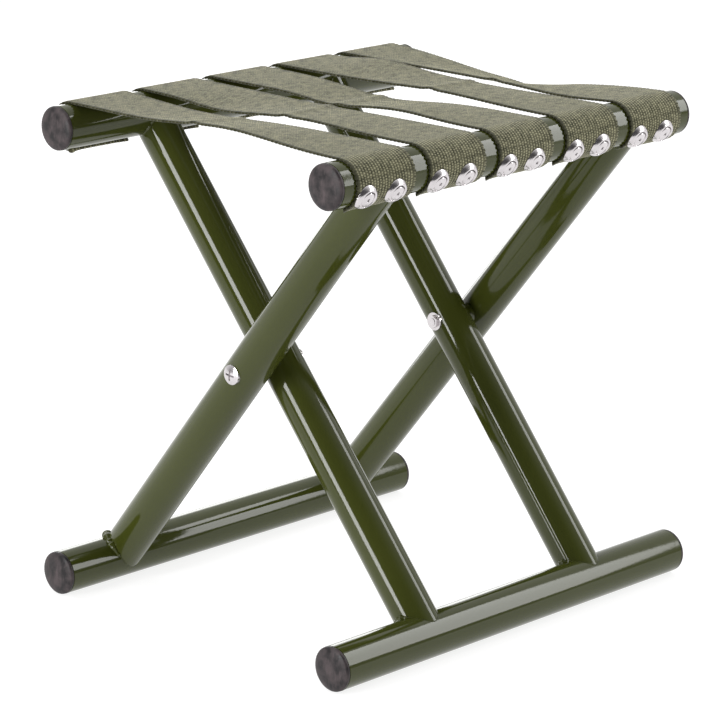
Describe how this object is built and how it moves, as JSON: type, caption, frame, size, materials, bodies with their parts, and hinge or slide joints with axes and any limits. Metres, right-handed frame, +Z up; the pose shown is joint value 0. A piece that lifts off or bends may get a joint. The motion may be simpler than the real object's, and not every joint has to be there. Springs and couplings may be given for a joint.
{
  "type": "folding camp stool",
  "caption": "Small folding camp stool: two crossed frames of olive steel tube on pivot bolts, with olive webbing straps riveted across the top rails.",
  "frame": {"origin": "on the floor under the middle of the open stool", "axes": "+X along the rails, +Y to the back, where the outer frame's foot rail is, +Z up"},
  "size_m": [0.2834, 0.245, 0.2866],
  "materials": {
    "olive_paint": "gloss olive green enamel",
    "webbing": "woven olive webbing, matt",
    "rubber": "dark moulded rubber, satin",
    "bright_steel": "bright zinc plating"
  },
  "bodies": {
    "outer_frame": {"front_cup_washers": "bright_steel", "front_rivets": "bright_steel", "outer_foot_plug_left": "rubber", "outer_foot_plug_right": "rubber", "outer_foot_rail": "olive_paint", "outer_leg_left": "olive_paint", "outer_leg_right": "olive_paint", "outer_saddle_left": "olive_paint", "outer_saddle_right": "olive_paint", "outer_seat_plug_left": "rubber", "outer_seat_plug_right": "rubber", "outer_seat_rail": "olive_paint", "outer_weld_beads": "olive_paint", "pivot_bolt_left": "bright_steel", "pivot_bolt_right": "bright_steel", "pivot_nut_left": "bright_steel", "pivot_nut_right": "bright_steel", "strap_1_front_end": "webbing", "strap_1_span": "webbing", "strap_2_front_end": "webbing", "strap_2_span": "webbing", "strap_3_front_end": "webbing", "strap_3_span": "webbing", "strap_4_front_end": "webbing", "strap_4_span": "webbing", "strap_5_front_end": "webbing", "strap_5_span": "webbing"},
    "inner_frame": {"back_cup_washers": "bright_steel", "back_rivets": "bright_steel", "inner_foot_plug_left": "rubber", "inner_foot_plug_right": "rubber", "inner_foot_rail": "olive_paint", "inner_leg_left": "olive_paint", "inner_leg_right": "olive_paint", "inner_saddle_left": "olive_paint", "inner_saddle_right": "olive_paint", "inner_seat_plug_left": "rubber", "inner_seat_plug_right": "rubber", "inner_seat_rail": "olive_paint", "inner_weld_beads": "olive_paint", "nut_washer_left": "bright_steel", "nut_washer_right": "bright_steel", "strap_1_back_end": "webbing", "strap_2_back_end": "webbing", "strap_3_back_end": "webbing", "strap_4_back_end": "webbing", "strap_5_back_end": "webbing"}
  },
  "joints": [
    {"name": "frame_fold", "type": "hinge", "parent": "outer_frame", "child": "inner_frame", "pos_m": [0, 0, 0.14583], "axis": [1, 0, 0], "range_deg": [0, 65], "deforming": ["strap_1_span", "strap_2_span", "strap_3_span", "strap_4_span", "strap_5_span"]}
  ]
}
